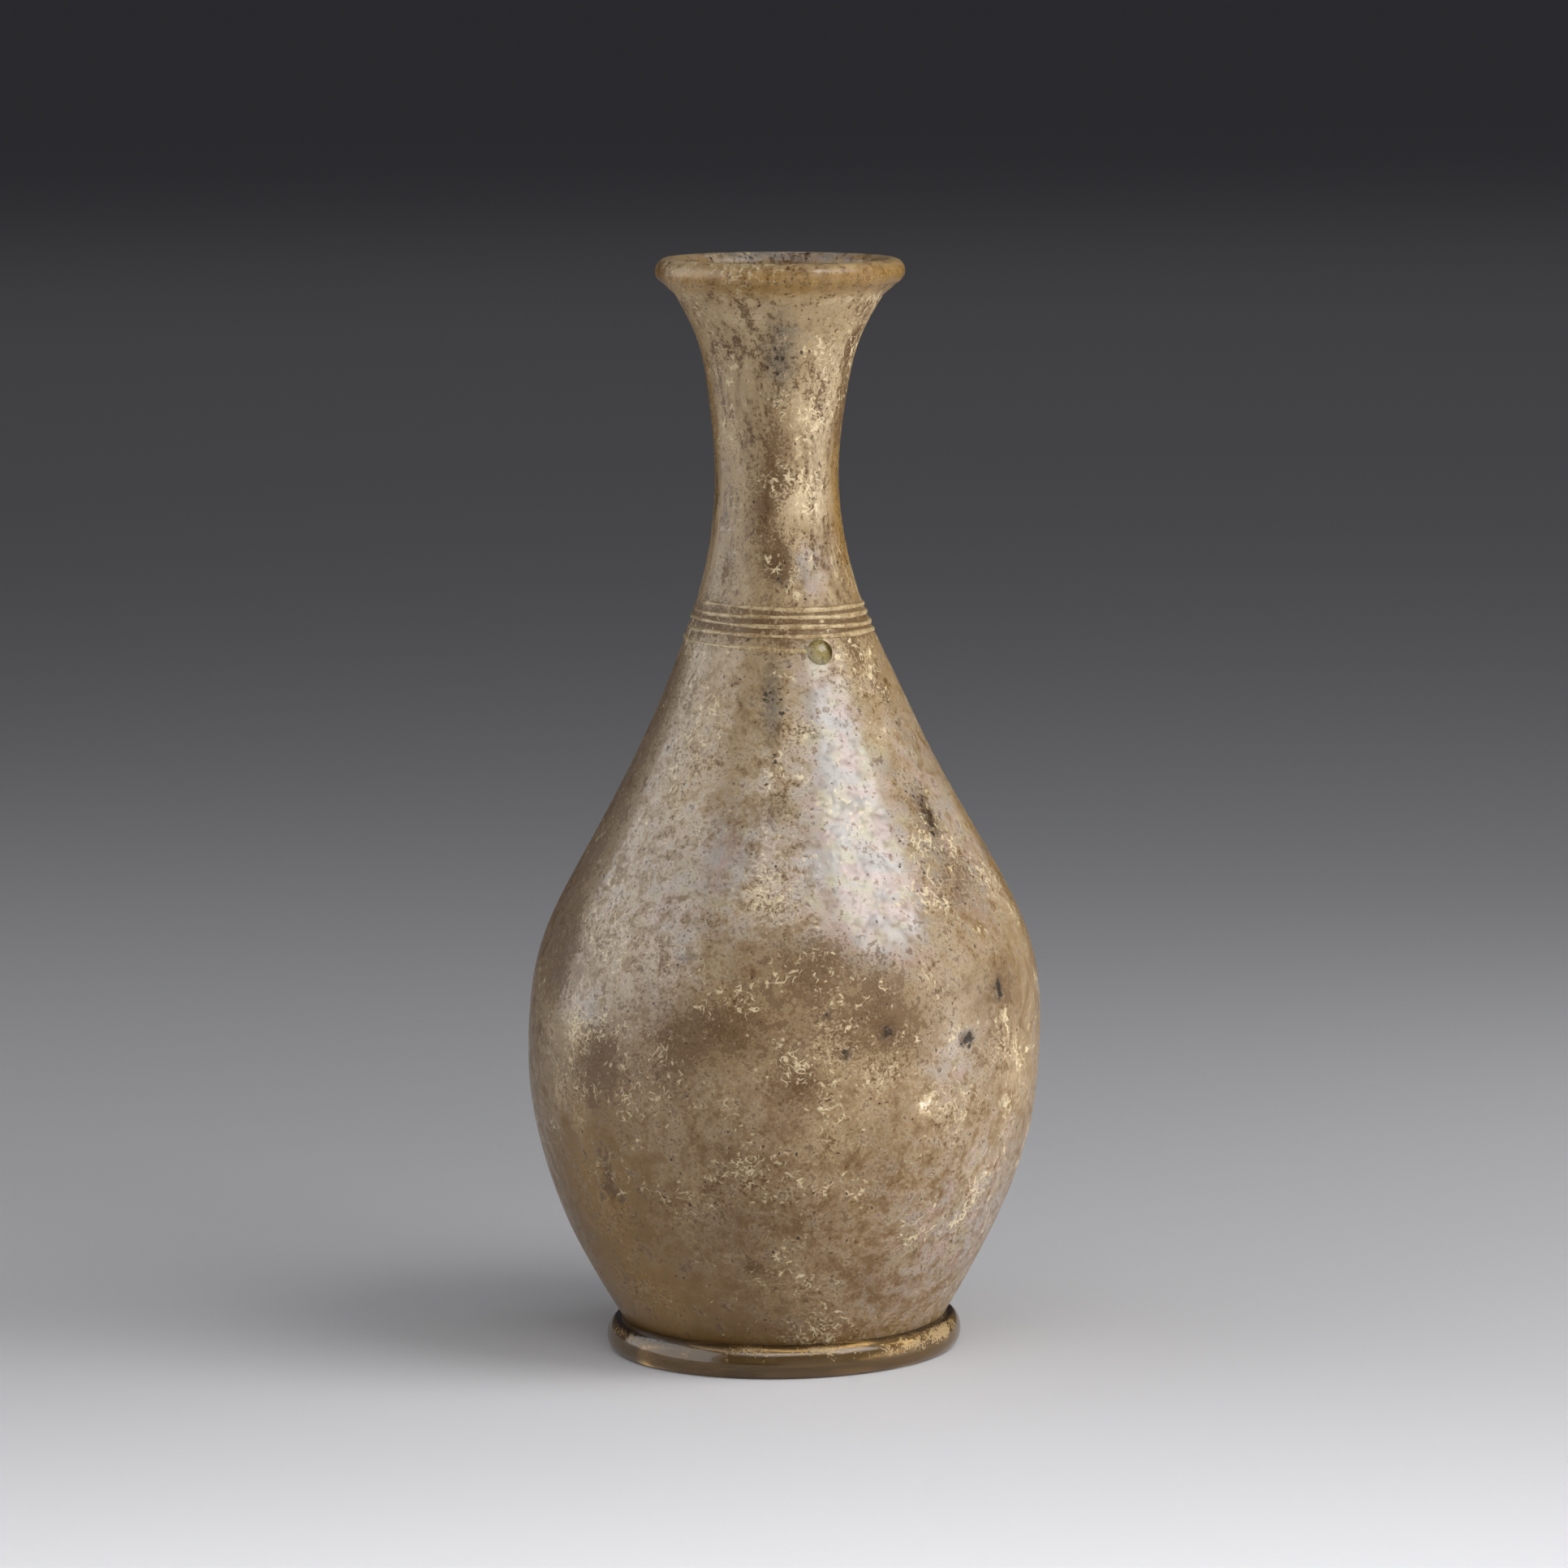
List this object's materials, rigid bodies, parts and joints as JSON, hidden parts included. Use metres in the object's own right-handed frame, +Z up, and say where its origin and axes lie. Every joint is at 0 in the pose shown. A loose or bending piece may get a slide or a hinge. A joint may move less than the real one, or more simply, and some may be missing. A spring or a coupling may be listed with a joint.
{
  "type": "glass bottle",
  "caption": "Ancient free-blown glass bottle: pear-shaped body on a coil foot, tall concave neck with a wound thread, flaring mouth with a thick rounded rim.",
  "frame": {"origin": "middle of the foot ring's flat underside, on the ground", "axes": "+Z up along the bottle, -Y towards the side seen in the picture, +X to that view's right, the side that the vessel leans to"},
  "size_m": [0.108, 0.108, 0.2303],
  "materials": {
    "weathered_glass": "translucent smoky brown glass under a cream weathering film, iridescent in places, with brown pits and fine flaking",
    "foot_glass": "clearer dark amber-brown glass, glossy, with cream weathering in its crevices",
    "trail_glass": "weathered yellow-green glass, semi-gloss"
  },
  "bodies": {
    "root": {"vessel": "weathered_glass", "foot_ring": "foot_glass", "neck_thread": "trail_glass"}
  },
  "joints": []
}
